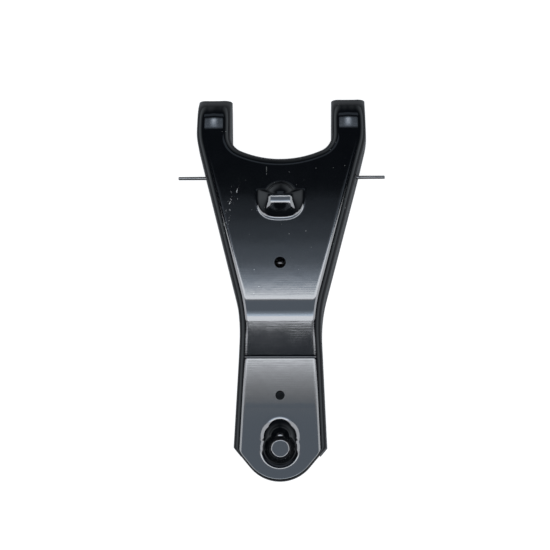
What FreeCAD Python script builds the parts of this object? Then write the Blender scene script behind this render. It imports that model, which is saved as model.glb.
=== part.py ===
import FreeCAD, Part
import math
import os
import Sketcher
from FreeCAD import Placement, Rotation, Vector

# Clutch fork of a light truck, pressed from one steel sheet.
#
# The sheet is drawn into a channel: a flat web on top and flanges that turn
# down all round it.  The wide end is a U whose two arms push the release
# bearing, the narrow end is a single tongue with the pushrod's seat, and in
# between the web is raised into a socket that rocks on a ball stud.  A bent
# wire spring inside the channel holds the fork on that ball.
#
# Frame: the origin is the centre of the pivot ball.  +Y points along the
# fork to its arms, +Z out of the web on the side of the bearing pads, and
# the free edges of the flanges lie in one plane parallel to XY.

doc = FreeCAD.newDocument("clutch_fork")
sheet = doc.addObject("Spreadsheet::Sheet", "sizes")

# ---------------------------------------------------------------- the sizes

# Driving sizes in millimetres and degrees.  A "reach" is a distance from the
# pivot along the fork, a "half_width" a distance from its centre line.
SIZES = [
    ("sheet_thickness", 3.2, "steel sheet the fork is pressed from"),
    ("bend_radius", 4.2, "outer radius where the web turns into a flange"),
    ("draft_angle", 2.0, "lean of the flanges, wider at their free edges"),
    ("web_height", 19.0, "outer face of the wide web above the flange edges"),
    ("ball_radius", 5.5, "ball stud that the socket sits on"),
    ("pivot_depth", 4.6, "ball centre below the outer face of the web"),
    # the tongue and the step down to it
    ("step_drop", 7.5, "tongue web below the wide web"),
    ("step_angle", 20.0, "slope between the two webs"),
    ("step_radius", 43.0, "soft bend at the top of the slope"),
    ("crease_reach", 72.3, "sharp inside crease at the foot of the slope"),
    # outline seen from above
    ("nose_reach", 127.3, "end of the tongue"),
    ("nose_radius", 17.0, "rounding of the tongue's end"),
    ("nose_angle", 50.0, "trimmed corners of the tongue, from square across"),
    ("tip_half_width", 20.15, "flanges where the nose is trimmed"),
    ("tip_reach", 113.0, "where that width is measured"),
    ("waist_half_width", 17.5, "narrowest place, before its rounding"),
    ("waist_reach", 54.1, "narrowest place from the pivot"),
    ("waist_radius", 70.0, "rounding of the waist"),
    ("shoulder_half_width", 39.05, "widest place, at the roots of the arms"),
    ("shoulder_reach", 30.0, "widest place from the pivot"),
    ("shoulder_radius", 30.0, "rounding of the shoulders"),
    ("arm_end_half_width", 38.4, "outer side of the arms at their ends"),
    ("arm_reach", 49.6, "ends of the arms"),
    ("arm_end_hollow", 0.7, "dip in the middle of each arm's end"),
    # the U between the arms, which clears the release bearing's sleeve
    ("slot_half_width", 23.6, "half of the gap between the arms"),
    ("slot_reach", 19.2, "bottom of the gap"),
    ("slot_corner_radius", 8.5, "corners of the gap's bottom"),
    ("slot_floor_angle", 23.0, "how far the gap's bottom curves up to them"),
    # rounded pads at the ends of the arms
    ("pad_root_reach", 33.0, "where an arm starts to rise to its pad"),
    ("pad_crest_reach", 43.0, "top of the pad"),
    ("pad_rise", 1.0, "height of the pad above the web"),
    ("pad_fall_angle", 48.0, "how steeply the pad turns down at the end"),
    ("pad_radius", 10.0, "rounding of the pad"),
    ("pad_root_radius", 20.0, "blend into the web"),
    # trim of the arms' flanges
    ("flange_taper_reach", 12.0, "where the arms' flanges start to get lower"),
    ("flange_taper", 8.0, "how much lower they are at the ends"),
    ("flange_taper_radius", 30.0, "blend at the start of that taper"),
    # ball socket: a dome with a wing on each side and a ramp to the tongue
    ("wing_half_width", 10.6, "half of the wings' span at the web"),
    ("wing_front_reach", 3.6, "edge of the wings towards the arms"),
    ("wing_side_length", 7.0, "straight sides of the wings"),
    ("wing_back_reach", 10.4, "end of the ramp towards the tongue"),
    ("wing_height", 2.4, "top of the wings above the web"),
    ("wing_crest_half_width", 6.6, "half length of the crest"),
    ("wing_crest_reach", 3.6, "crest, where the ramp starts"),
    ("wing_crest_bow", 0.8, "slight bow of the crest"),
    ("wing_crest_front", 0.8, "top of the wings towards the arms"),
    ("dome_root_radius", 1.0, "blend of the socket into the web"),
    # pushrod seat: a cup and the relief beside it that lets the rod swing
    ("seat_reach", 112.6, "axis of the pushrod's cup"),
    ("seat_depth", 6.5, "depth of the cup"),
    ("seat_floor_radius", 4.2, "floor of the cup, before its rounding"),
    ("seat_mouth_radius", 7.8, "mouth of the cup, before its rolled edge"),
    ("seat_cup_radius", 3.5, "rounding between the floor and the wall"),
    ("seat_roll_radius", 2.0, "rolled edge of the cup"),
    ("relief_offset", 5.0, "axis of the relief, towards the pivot"),
    ("relief_depth", 4.3, "depth of the relief"),
    ("relief_floor_radius", 3.4, "floor of the relief, before its rounding"),
    ("relief_mouth_radius", 7.5, "mouth of the relief, before its rolled edge"),
    ("relief_roll_radius", 3.0, "rolled edge of the relief"),
    ("roll_lift", 0.03, "the rolled edges run out this far above the web"),
    # holes and the retaining spring
    ("gauge_hole_radius", 2.05, "locating hole in the tongue"),
    ("gauge_hole_reach", 89.5, "its place"),
    ("anchor_hole_radius", 2.6, "hole that the spring hooks into"),
    ("anchor_hole_reach", 30.6, "its place"),
    ("wire_diameter", 1.5, "spring wire"),
    ("wire_clearance", 0.3, "play of the wire in the flange holes"),
    ("wire_reach", 12.3, "where the wire passes through the flanges"),
    ("wire_drop", 5.3, "wire below the ball's centre"),
    ("wire_end_half_span", 47.8, "ends of the wire from the centre line"),
    ("neck_gap", 9.6, "gap between the spring's legs at the ball's neck"),
    ("leg_bend_radius", 3.5, "bend of each leg towards its flange"),
    ("hook_bend_radius", 2.6, "bend of each leg up into the anchor hole"),
    ("hook_half_width", 1.25, "half width of the hook on the wire's axis"),
    ("hook_cover", 0.6, "top of the hook below the web's outer face"),
    # tooling: how far the forms run past the part before it is trimmed
    ("run_out", 12.0, "length of sheet beyond the trimmed ends"),
]

# Sizes that follow from the others.
DERIVED = [
    ("centre_line", "0"),
    ("web_top", "pivot_depth"),
    ("pad_crest", "web_top + pad_rise"),
    ("tongue_top", "web_top - step_drop"),
    ("flange_edge", "web_top - web_height"),
    ("form_floor", "flange_edge - run_out - web_height"),
    ("plan_level", "pad_crest + pad_rise"),
    ("form_depth", "plan_level - form_floor"),
    ("form_width", "2 * (shoulder_half_width + run_out)"),
    ("bend_radius_inside", "bend_radius - sheet_thickness"),
    ("socket_outer_radius", "ball_radius + sheet_thickness"),
    # plan
    ("tip_run", "nose_reach + run_out"),
    ("arm_run", "arm_reach + run_out"),
    ("tip_flare", "(tip_half_width - waist_half_width) / (tip_reach - waist_reach)"),
    ("tip_run_half_width", "waist_half_width + tip_flare * (tip_run - waist_reach)"),
    ("arm_lean", "(shoulder_half_width - arm_end_half_width) / (arm_reach - shoulder_reach)"),
    ("arm_run_half_width", "shoulder_half_width - arm_lean * (arm_run - shoulder_reach)"),
    ("slot_floor_radius", "0.96 * ((slot_half_width - slot_corner_radius)"
     " / sin(slot_floor_angle * 1deg) + slot_corner_radius)"),
    ("slot_floor_apex", "slot_reach - slot_floor_radius * (1 / cos(slot_floor_angle * 1deg) - 1)"),
    ("slot_corner_reach", "slot_floor_apex + slot_half_width * tan(slot_floor_angle * 1deg)"),
    ("nose_apex", "nose_reach + nose_radius * (1 / cos(nose_angle * 1deg) - 1)"),
    ("blank_half_width", "shoulder_half_width + run_out"),
    ("blank_corner", "nose_apex - blank_half_width * tan(nose_angle * 1deg)"),
    # side view
    ("step_corner", "crease_reach - step_drop / tan(step_angle * 1deg)"),
    ("slope_run", "crease_reach + (tongue_top - form_floor) / tan(step_angle * 1deg)"),
    ("pad_run_height", "pad_crest - (arm_run - pad_crest_reach) * tan(pad_fall_angle * 1deg)"),
    ("overlap_reach", "step_corner"),
    ("tongue_run", "tip_run + run_out"),
    ("taper_rate", "flange_taper / (arm_reach - flange_taper_reach)"),
    ("taper_run_height", "flange_edge + taper_rate * (arm_run - flange_taper_reach)"),
    # socket
    ("web_underside", "web_top - sheet_thickness"),
    ("wing_top", "web_top + wing_height"),
    ("wing_underside", "wing_top - sheet_thickness"),
    ("wing_side_end", "wing_side_length - wing_front_reach"),
    ("wing_back_sag", "wing_back_reach - wing_side_end"),
    ("wing_back_radius", "(wing_half_width ^ 2 + wing_back_sag ^ 2) / (2 * wing_back_sag)"),
    ("wing_crest_back", "wing_crest_reach + wing_crest_bow"),
    ("wing_crest_radius", "(wing_crest_half_width ^ 2 + wing_crest_bow ^ 2)"
     " / (2 * wing_crest_bow)"),
    # pushrod seat, the upper side and the bulge under it
    ("seat_bottom", "tongue_top - seat_depth"),
    ("seat_wall_tan", "(seat_mouth_radius - seat_floor_radius) / seat_depth"),
    ("seat_wall_secant", "sqrt(1 + seat_wall_tan ^ 2)"),
    ("seat_bulge_floor_radius", "seat_floor_radius"
     " + sheet_thickness * (seat_wall_secant - seat_wall_tan)"),
    ("seat_bulge_top_radius", "seat_mouth_radius"
     " + sheet_thickness * (seat_wall_secant - seat_wall_tan / 2)"),
    ("seat_bulge_bottom", "seat_bottom - sheet_thickness"),
    ("relief_bottom", "tongue_top - relief_depth"),
    ("relief_wall_tan", "(relief_mouth_radius - relief_floor_radius) / relief_depth"),
    ("relief_wall_secant", "sqrt(1 + relief_wall_tan ^ 2)"),
    ("relief_bulge_floor_radius", "relief_floor_radius"
     " + sheet_thickness * (relief_wall_secant - relief_wall_tan)"),
    ("relief_bulge_top_radius", "relief_mouth_radius"
     " + sheet_thickness * (relief_wall_secant - relief_wall_tan / 2)"),
    ("relief_bulge_bottom", "relief_bottom - sheet_thickness"),
    ("relief_reach", "seat_reach - relief_offset"),
    ("bulge_cup_radius", "seat_cup_radius + sheet_thickness"),
    ("bulge_top", "tongue_top - sheet_thickness / 2"),
    ("roll_level", "tongue_top + roll_lift"),
    ("seat_roll_run", "seat_mouth_radius + 2 * seat_roll_radius"),
    ("relief_roll_run", "relief_mouth_radius + 2 * relief_roll_radius"),
    ("seat_clear_level", "tongue_top + sheet_thickness"),
    # trims
    ("trim_height", "2 * form_depth"),
    ("trim_top", "socket_outer_radius + run_out"),
    # arms' ends
    ("arm_middle", "(slot_half_width + arm_end_half_width) / 2"),
    ("arm_half_chord", "(arm_end_half_width - slot_half_width) / 2"),
    ("arm_end_radius", "(arm_half_chord ^ 2 + arm_end_hollow ^ 2) / (2 * arm_end_hollow)"),
    ("arm_end_centre", "arm_reach + arm_end_radius - arm_end_hollow"),
    # spring
    ("wire_radius", "wire_diameter / 2"),
    ("wire_hole_radius", "wire_radius + wire_clearance"),
    ("leg_half_gap", "neck_gap / 2 + wire_radius"),
    ("leg_lean", "(leg_half_gap - hook_half_width) / anchor_hole_reach"),
    ("leg_corner_half_width", "leg_half_gap + leg_lean * wire_reach"),
    ("hook_top", "web_top - hook_cover - wire_radius"),
    ("hook_spring_line", "hook_top - hook_half_width"),
]


def fill_sheet():
    """One row for each size: its name, its value under that alias, what it is."""
    row = 1
    for name, value, meaning in SIZES:
        sheet.set("A%d" % row, name)
        sheet.set("B%d" % row, str(value))
        sheet.setAlias("B%d" % row, name)
        sheet.set("C%d" % row, meaning)
        row += 1
    for name, formula in DERIVED:
        sheet.set("A%d" % row, name)
        sheet.set("B%d" % row, "=" + formula)
        sheet.setAlias("B%d" % row, name)
        row += 1
    doc.recompute()


def size(name):
    """A size as the sheet holds it now; a leading minus turns its sign."""
    if name.startswith("-"):
        return -float(sheet.get(name[1:]))
    return float(sheet.get(name))


def bind(thing, prop, name):
    """Ties a property to a size of the sheet; a leading minus turns its sign."""
    sign = "-" if name.startswith("-") else ""
    thing.setExpression(prop, sign + "sizes." + name.lstrip("-"))


# ------------------------------------------------------------- the sketches

ORIGIN = -1
START, END = 1, 2
SIDE_VIEW = Placement(Vector(0, 0, 0), Rotation(0.5, 0.5, 0.5, 0.5))


def outline(name, corners, placement=Placement()):
    """A closed sketch of straight sides whose corners may be rounded.

    Each corner is (name across, name up, name of its radius or None).  The
    meeting point of the two sides is held by its two distances from the
    origin, and the rounding is an arc tangent to both.
    """
    sketch = doc.addObject("Sketcher::SketchObject", name)
    sketch.Placement = placement
    points = [Vector(size(across), size(up), 0) for across, up, radius in corners]
    count = len(corners)
    starts = []
    ends = []
    arcs = []
    for i in range(count):
        corner = points[i]
        towards_last = (points[i - 1] - corner).normalize()
        towards_next = (points[(i + 1) % count] - corner).normalize()
        if corners[i][2] is None:
            ends.append(corner)
            starts.append(corner)
            arcs.append(None)
            continue
        radius = size(corners[i][2])
        half_turn = (math.pi - towards_last.getAngle(towards_next)) / 2
        tangent = radius * math.tan(half_turn)
        first = corner + towards_last * tangent
        last = corner + towards_next * tangent
        middle_way = (towards_last + towards_next).normalize()
        centre = corner + middle_way * (radius / math.cos(half_turn))
        circle = Part.Circle(centre, Vector(0, 0, 1), radius)
        middle_angle = math.atan2(-middle_way.y, -middle_way.x)
        ends.append(first)
        starts.append(last)
        arcs.append(Part.ArcOfCircle(circle, middle_angle - half_turn, middle_angle + half_turn))
    sides = [sketch.addGeometry(Part.LineSegment(starts[i], ends[(i + 1) % count]), False)
             for i in range(count)]
    for i in range(count):
        across, up, radius = corners[i]
        before = sides[i - 1]
        after = sides[i]
        if arcs[i] is None:
            sketch.addConstraint(Sketcher.Constraint("Coincident", before, END, after, START))
            held = (after, START)
        else:
            arc = sketch.addGeometry(arcs[i], False)
            join_arc(sketch, before, END, arc, ends[i])
            join_arc(sketch, after, START, arc, starts[i])
            rounding = sketch.addConstraint(Sketcher.Constraint("Radius", arc, size(radius)))
            bind(sketch, "Constraints[%d]" % rounding, radius)
            point = sketch.addGeometry(Part.Point(points[i]), True)
            sketch.addConstraint(Sketcher.Constraint("PointOnObject", point, START, before))
            sketch.addConstraint(Sketcher.Constraint("PointOnObject", point, START, after))
            held = (point, START)
        for kind, distance in (("DistanceX", across), ("DistanceY", up)):
            index = sketch.addConstraint(
                Sketcher.Constraint(kind, ORIGIN, START, held[0], held[1], size(distance)))
            bind(sketch, "Constraints[%d]" % index, distance)
    return sketch


def join_arc(sketch, side, side_end, arc, meeting):
    """Makes an arc leave a side smoothly, at whichever of its ends is there."""
    begins = sketch.Geometry[arc].StartPoint.distanceToPoint(meeting)
    finishes = sketch.Geometry[arc].EndPoint.distanceToPoint(meeting)
    arc_end = START if begins < finishes else END
    sketch.addConstraint(Sketcher.Constraint("Tangent", side, side_end, arc, arc_end))


def mirrored(corners, middle=()):
    """The corners of one side, those on the centre line, and the other side's."""
    other = [("-" + across, up, radius) for across, up, radius in reversed(corners)]
    return corners + list(middle) + other


# ---------------------------------------------------- small feature helpers

def prism(name, source, length, both_ways=False, downwards=False):
    """A sketch or an offset outline extruded along its normal."""
    solid = doc.addObject("Part::Extrusion", name)
    solid.Base = source
    solid.DirMode = "Normal"
    solid.Solid = True
    solid.Symmetric = both_ways
    solid.Reversed = downwards
    bind(solid, "LengthFwd", length)
    return solid


def inset(name, source):
    """The outline one sheet thickness further in."""
    shrunk = doc.addObject("Part::Offset2D", name)
    shrunk.Source = source
    shrunk.Join = "Intersection"
    bind(shrunk, "Value", "-sheet_thickness")
    return shrunk


def joined(name, *pieces):
    """One solid out of several."""
    both = doc.addObject("Part::MultiFuse", name)
    both.Shapes = list(pieces)
    both.Refine = True
    return both


def blended(name, base, radius, choose):
    """A solid with the edges that the chooser finds rounded off."""
    doc.recompute()
    rounded = doc.addObject("Part::Fillet", name)
    rounded.Base = base
    rounded.Edges = [(number, size(radius), size(radius)) for number in choose(base.Shape)]
    return rounded


def upright_hole(name, radius, reach):
    """A round tool through the web, on the fork's centre line."""
    hole = doc.addObject("Part::Cylinder", name)
    bind(hole, "Radius", radius)
    bind(hole, "Height", "trim_height")
    bind(hole, "Placement.Base.y", "-" + reach)
    bind(hole, "Placement.Base.z", "form_floor")
    return hole


def shared(name, *pieces):
    """What several solids have in common."""
    both = doc.addObject("Part::MultiCommon", name)
    both.Shapes = list(pieces)
    return both


def without(name, base, tool):
    """A solid with another cut out of it."""
    cut = doc.addObject("Part::Cut", name)
    cut.Base = base
    cut.Tool = tool
    return cut


fill_sheet()

# ------------------------------------------------------- the drawn channel

# Outline of the drawn sheet from above, with spare sheet past both ends.
plan = outline("plan_outline", mirrored([
    ("tip_run_half_width", "-tip_run", None),
    ("waist_half_width", "-waist_reach", "waist_radius"),
    ("shoulder_half_width", "shoulder_reach", "shoulder_radius"),
    ("arm_run_half_width", "arm_run", None),
    ("slot_half_width", "arm_run", None),
    ("slot_half_width", "slot_corner_reach", "slot_corner_radius"),
], middle=[("centre_line", "slot_floor_apex", "slot_floor_radius")]))
bind(plan, "Placement.Base.z", "plan_level")

# The wide web in side view: slope, soft bend, flat, and the rounded pads.
web_side_view = outline("web_side_view", [
    ("-slope_run", "form_floor", None),
    ("arm_run", "form_floor", None),
    ("arm_run", "pad_run_height", None),
    ("pad_crest_reach", "pad_crest", "pad_radius"),
    ("pad_root_reach", "web_top", "pad_root_radius"),
    ("-step_corner", "web_top", "step_radius"),
], SIDE_VIEW)

# The tongue in side view, a plain flat that runs on under the slope.
tongue_side_view = outline("tongue_side_view", [
    ("-tongue_run", "form_floor", None),
    ("-overlap_reach", "form_floor", None),
    ("-overlap_reach", "tongue_top", None),
    ("-tongue_run", "tongue_top", None),
], SIDE_VIEW)


def drawn_form(name, seen_from_above, seen_from_side, radius):
    """A block with the outline of both views and its web edges rolled over."""
    walls = prism(name + "_walls", seen_from_above, "form_depth", downwards=True)
    bind(walls, "TaperAngle", "draft_angle")
    web = prism(name + "_web", seen_from_side, "form_width", both_ways=True)
    return blended(name, shared(name + "_block", walls, web), radius, rolled_edges)


def rolled_edges(shape):
    """Numbers of the edges between the web and the walls beside it."""
    numbers = []
    for number, edge in enumerate(shape.Edges, 1):
        middle = edge.valueAt((edge.FirstParameter + edge.LastParameter) / 2)
        steepness = []
        for face in shape.ancestorsOfType(edge, Part.Face):
            steepness.append(abs(face.normalAt(*face.Surface.parameter(middle)).z))
        at_wall = min(steepness) < 0.2 and max(steepness) > 0.5
        at_floor = middle.z < size("flange_edge") - size("run_out")
        at_end = abs(middle.x) < size("slot_half_width") / 2 and middle.y < 0
        past_arms = middle.y > size("arm_run") - size("sheet_thickness") - 0.1
        if at_wall and not (at_floor or at_end or past_arms):
            numbers.append(number)
    return numbers


outer_web = drawn_form("outer_web", plan, web_side_view, "bend_radius")
outer_tongue = drawn_form("outer_tongue", plan, tongue_side_view, "bend_radius")
plan_inset = inset("plan_inset", plan)
web_inset = inset("web_side_inset", web_side_view)
tongue_inset = inset("tongue_side_inset", tongue_side_view)
inner_web = drawn_form("inner_web", plan_inset, web_inset, "bend_radius_inside")
inner_tongue = drawn_form("inner_tongue", plan_inset, tongue_inset, "bend_radius_inside")
drawn_outside = joined("drawn_outside", outer_web, outer_tongue)
drawn_inside = joined("drawn_inside", inner_web, inner_tongue)

# --------------------------------------------------- the ball socket, raised


def scallop(name, half_width, front, side_end, back, arc_radius, level):
    """One level of the socket's wings: square in front, an arc at the back."""
    sketch = doc.addObject("Sketcher::SketchObject", name)
    left, right = -size(half_width), size(half_width)
    near, far = size(front), -size(side_end)
    drop = size(side_end) - size(back)
    centre = Vector(0, -size(back) + size(arc_radius), 0)
    swing = math.asin(right / size(arc_radius))
    circle = Part.Circle(centre, Vector(0, 0, 1), size(arc_radius))
    back_arc = Part.ArcOfCircle(circle, -math.pi / 2 - swing, -math.pi / 2 + swing)
    edges = [
        Part.LineSegment(Vector(right, near, 0), Vector(left, near, 0)),
        Part.LineSegment(Vector(left, near, 0), Vector(left, far, 0)),
        back_arc,
        Part.LineSegment(Vector(right, far, 0), Vector(right, near, 0)),
    ]
    for edge in edges:
        sketch.addGeometry(edge, False)
    front_side, left_side, arc, right_side = range(4)
    for first, first_end, second, second_end in (
            (front_side, END, left_side, START), (left_side, END, arc, START),
            (arc, END, right_side, START), (right_side, END, front_side, START)):
        sketch.addConstraint(
            Sketcher.Constraint("Coincident", first, first_end, second, second_end))
    for side, end, across, up in (
            (front_side, START, half_width, front), (front_side, END, "-" + half_width, front),
            (left_side, END, "-" + half_width, "-" + side_end),
            (right_side, START, half_width, "-" + side_end)):
        for kind, distance in (("DistanceX", across), ("DistanceY", up)):
            index = sketch.addConstraint(
                Sketcher.Constraint(kind, ORIGIN, START, side, end, size(distance)))
            bind(sketch, "Constraints[%d]" % index, distance)
    index = sketch.addConstraint(Sketcher.Constraint("Radius", arc, size(arc_radius)))
    bind(sketch, "Constraints[%d]" % index, arc_radius)
    bind(sketch, "Placement.Base.z", level)
    return sketch


def wings(name, foot_level, crest_level):
    """The wings and the ramp: straight from their foot up to the crest."""
    foot = scallop(name + "_foot", "wing_half_width", "wing_front_reach", "wing_side_end",
                   "wing_back_reach", "wing_back_radius", foot_level)
    crest = scallop(name + "_crest", "wing_crest_half_width", "wing_crest_front",
                    "wing_crest_reach", "wing_crest_back", "wing_crest_radius", crest_level)
    loft = doc.addObject("Part::Loft", name)
    loft.Sections = [foot, crest]
    loft.Solid = True
    loft.Ruled = True
    return loft


def ball(name, radius):
    """A sphere round the pivot."""
    sphere = doc.addObject("Part::Sphere", name)
    bind(sphere, "Radius", radius)
    sphere.Placement.Rotation = Rotation(Vector(0, 1, 0), 90)
    return sphere


outer_wings = wings("outer_wings", "web_top", "wing_top")
inner_wings = wings("inner_wings", "web_underside", "wing_underside")
raised = joined("raised", drawn_outside, outer_wings, ball("outer_dome", "socket_outer_radius"))


def socket_edges(shape):
    """Numbers of the edges where the dome and its wings rise out of the web."""
    numbers = []
    for number, edge in enumerate(shape.Edges, 1):
        box = edge.BoundBox
        half_width = max(-box.XMin, box.XMax)
        within_wings = half_width < size("wing_half_width") + size("dome_root_radius")
        within_length = (box.YMax < size("socket_outer_radius")
                         and box.YMin > -size("wing_back_reach") - size("dome_root_radius"))
        if within_wings and within_length and box.ZMin > size("web_underside"):
            numbers.append(number)
    return numbers


pressed_outside = blended("pressed_outside", raised, "dome_root_radius", socket_edges)
pressed_inside = joined("pressed_inside", drawn_inside, inner_wings,
                        ball("inner_dome", "ball_radius"))
pressed = without("pressed", pressed_outside, pressed_inside)

# --------------------------------------------------------- the pushrod seat


def turned(name, reach, corners):
    """A round form about an upright axis on the centre line."""
    profile = outline(name + "_profile", corners,
                      Placement(Vector(0, 0, 0), Rotation(Vector(1, 0, 0), 90)))
    bind(profile, "Placement.Base.y", "-" + reach)
    form = doc.addObject("Part::Revolution", name)
    form.Source = profile
    form.Axis = Vector(0, 0, 1)
    form.Angle = 360
    form.Solid = True
    bind(form, "Base.y", "-" + reach)
    return form


def hollow(name):
    """What the cup or the relief takes away, rolled edge included."""
    return turned(name + "_hollow", name + "_reach", [
        ("centre_line", name + "_bottom", None),
        (name + "_floor_radius", name + "_bottom", "seat_cup_radius"),
        (name + "_mouth_radius", "roll_level", name + "_roll_radius"),
        (name + "_roll_run", "roll_level", None),
        (name + "_roll_run", "seat_clear_level", None),
        ("centre_line", "seat_clear_level", None),
    ])


def bulge(name):
    """The sheet pushed down under the cup or the relief."""
    return turned(name + "_bulge", name + "_reach", [
        ("centre_line", name + "_bulge_bottom", None),
        (name + "_bulge_floor_radius", name + "_bulge_bottom", "bulge_cup_radius"),
        (name + "_bulge_top_radius", "bulge_top", None),
        ("centre_line", "bulge_top", None),
    ])


with_bulges = joined("with_bulges", pressed, bulge("seat"), bulge("relief"))
seat_hollow = joined("seat_hollow_pair", hollow("seat"), hollow("relief"))
seated = without("seated", with_bulges, seat_hollow)

# ------------------------------------------------------- trims and holes

# The sheared outline: square across the arms, a blunt rounded nose.
trim_outline = outline("trim_outline", mirrored([
    ("blank_half_width", "-blank_corner", None),
    ("blank_half_width", "arm_reach", None),
], middle=[]) + [("centre_line", "-nose_apex", "nose_radius")])
trim_from_above = prism("trim_from_above", trim_outline, "trim_height", both_ways=True)

# The free edges of the flanges: level, then rising along the arms.
edge_outline = outline("edge_outline", [
    ("-tongue_run", "flange_edge", None),
    ("flange_taper_reach", "flange_edge", "flange_taper_radius"),
    ("arm_run", "taper_run_height", None),
    ("arm_run", "trim_top", None),
    ("-tongue_run", "trim_top", None),
], SIDE_VIEW)
trim_from_side = prism("trim_from_side", edge_outline, "form_width", both_ways=True)
trimmed = shared("trimmed", seated, trim_from_above, trim_from_side)

hollow_left = doc.addObject("Part::Cylinder", "arm_end_hollow_left")
hollow_right = doc.addObject("Part::Cylinder", "arm_end_hollow_right")
for cutter, side in ((hollow_left, "-arm_middle"), (hollow_right, "arm_middle")):
    bind(cutter, "Radius", "arm_end_radius")
    bind(cutter, "Height", "trim_height")
    bind(cutter, "Placement.Base.x", side)
    bind(cutter, "Placement.Base.y", "arm_end_centre")
    bind(cutter, "Placement.Base.z", "form_floor")

wire_holes = doc.addObject("Part::Cylinder", "wire_holes")
wire_holes.Placement.Rotation = Rotation(Vector(0, 1, 0), 90)
bind(wire_holes, "Radius", "wire_hole_radius")
bind(wire_holes, "Height", "form_width")
bind(wire_holes, "Placement.Base.x", "-blank_half_width")
bind(wire_holes, "Placement.Base.y", "wire_reach")
bind(wire_holes, "Placement.Base.z", "-wire_drop")

cutters = joined("cutters", hollow_left, hollow_right, wire_holes,
                 upright_hole("gauge_hole", "gauge_hole_radius", "gauge_hole_reach"),
                 upright_hole("anchor_hole", "anchor_hole_radius", "anchor_hole_reach"))
fork_lever = without("fork_lever", trimmed, cutters)
fork_lever.Placement = Placement()

# ------------------------------------------------- the ball retaining spring


def wire_run(corners):
    """Edges of a bent wire: straight runs with an arc at each rounded corner."""
    edges = []
    last = corners[0][0]
    for i in range(1, len(corners) - 1):
        corner, radius = corners[i]
        back = (corners[i - 1][0] - corner).normalize()
        onward = (corners[i + 1][0] - corner).normalize()
        half_turn = (math.pi - back.getAngle(onward)) / 2
        tangent = radius * math.tan(half_turn)
        middle_way = (back + onward).normalize()
        to_arc = radius / math.cos(half_turn) - radius
        first = corner + back * tangent
        final = corner + onward * tangent
        edges.append(Part.LineSegment(last, first).toShape())
        edges.append(Part.Arc(first, corner + middle_way * to_arc, final).toShape())
        last = final
    edges.append(Part.LineSegment(last, corners[-1][0]).toShape())
    return edges


def half_spring(side):
    """One leg, from its end outside the flange to the top of the hook."""
    level = -size("wire_drop")
    return wire_run([
        (Vector(side * size("wire_end_half_span"), size("wire_reach"), level), None),
        (Vector(side * size("leg_corner_half_width"), size("wire_reach"), level),
         size("leg_bend_radius")),
        (Vector(side * size("hook_half_width"), -size("anchor_hole_reach"), level),
         size("hook_bend_radius")),
        (Vector(side * size("hook_half_width"), -size("anchor_hole_reach"),
                size("hook_spring_line")), None),
    ])


hook_end = Vector(size("hook_half_width"), -size("anchor_hole_reach"), size("hook_spring_line"))
hook_start = Vector(-hook_end.x, hook_end.y, hook_end.z)
hook_crown = Vector(0, hook_end.y, size("hook_top"))
wire_axis = doc.addObject("Part::Feature", "wire_axis")
wire_axis.Shape = Part.Wire(
    half_spring(-1) + [Part.Arc(hook_start, hook_crown, hook_end).toShape()]
    + list(reversed(half_spring(1))))
wire_axis.Placement = Placement()

wire_section = doc.addObject("Part::Circle", "wire_section")
wire_section.Placement.Rotation = Rotation(Vector(0, 1, 0), 90)
bind(wire_section, "Radius", "wire_radius")
bind(wire_section, "Placement.Base.x", "-wire_end_half_span")
bind(wire_section, "Placement.Base.y", "wire_reach")
bind(wire_section, "Placement.Base.z", "-wire_drop")

ball_retaining_spring = doc.addObject("Part::Sweep", "ball_retaining_spring")
ball_retaining_spring.Sections = [wire_section]
ball_retaining_spring.Spine = (wire_axis, [])
ball_retaining_spring.Solid = True
ball_retaining_spring.Frenet = False
ball_retaining_spring.Placement = Placement()

# ------------------------------------------------------- checks and export

doc.recompute()
for thing in doc.Objects:
    if "Invalid" in thing.State or "Error" in thing.State:
        raise RuntimeError("%s did not build: %s" % (thing.Label, thing.State))

nodes = (fork_lever, ball_retaining_spring)
for node in nodes:
    if node.Shape.isNull() or not node.Shape.isValid() or len(node.Shape.Solids) != 1:
        raise RuntimeError("%s is not one valid solid" % node.Label)

os.makedirs("parts", exist_ok=True)
for node in nodes:
    node.Shape.exportStep("parts/%s.step" % node.Label)
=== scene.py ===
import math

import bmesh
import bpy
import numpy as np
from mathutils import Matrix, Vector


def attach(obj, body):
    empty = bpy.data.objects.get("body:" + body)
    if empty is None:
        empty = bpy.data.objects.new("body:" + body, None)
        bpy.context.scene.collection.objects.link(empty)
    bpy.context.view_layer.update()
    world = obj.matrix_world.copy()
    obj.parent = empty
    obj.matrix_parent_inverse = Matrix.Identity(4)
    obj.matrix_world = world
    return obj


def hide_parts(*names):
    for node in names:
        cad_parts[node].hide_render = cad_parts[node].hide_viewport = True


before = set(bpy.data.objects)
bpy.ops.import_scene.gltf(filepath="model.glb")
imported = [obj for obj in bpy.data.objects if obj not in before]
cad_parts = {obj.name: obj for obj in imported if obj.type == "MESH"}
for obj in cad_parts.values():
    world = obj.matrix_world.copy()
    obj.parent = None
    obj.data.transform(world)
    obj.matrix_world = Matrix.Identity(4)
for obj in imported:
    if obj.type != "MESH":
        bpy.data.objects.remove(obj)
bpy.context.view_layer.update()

# %% [markdown]
# # A clutch fork, pressed from one steel sheet
#
# The fork is a lever.  A pushrod pushes in the cup near its narrow end, the
# raised dome in the middle rocks on a ball stud, and the two arms push the
# release bearing along its sleeve.  It is one sheet of steel drawn into a
# channel, dipped in black electro-coat, with one bent wire clipped inside.
#
# Lengths below are in millimetres and turn into metres when a mesh is made.

MM = 0.001

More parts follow.
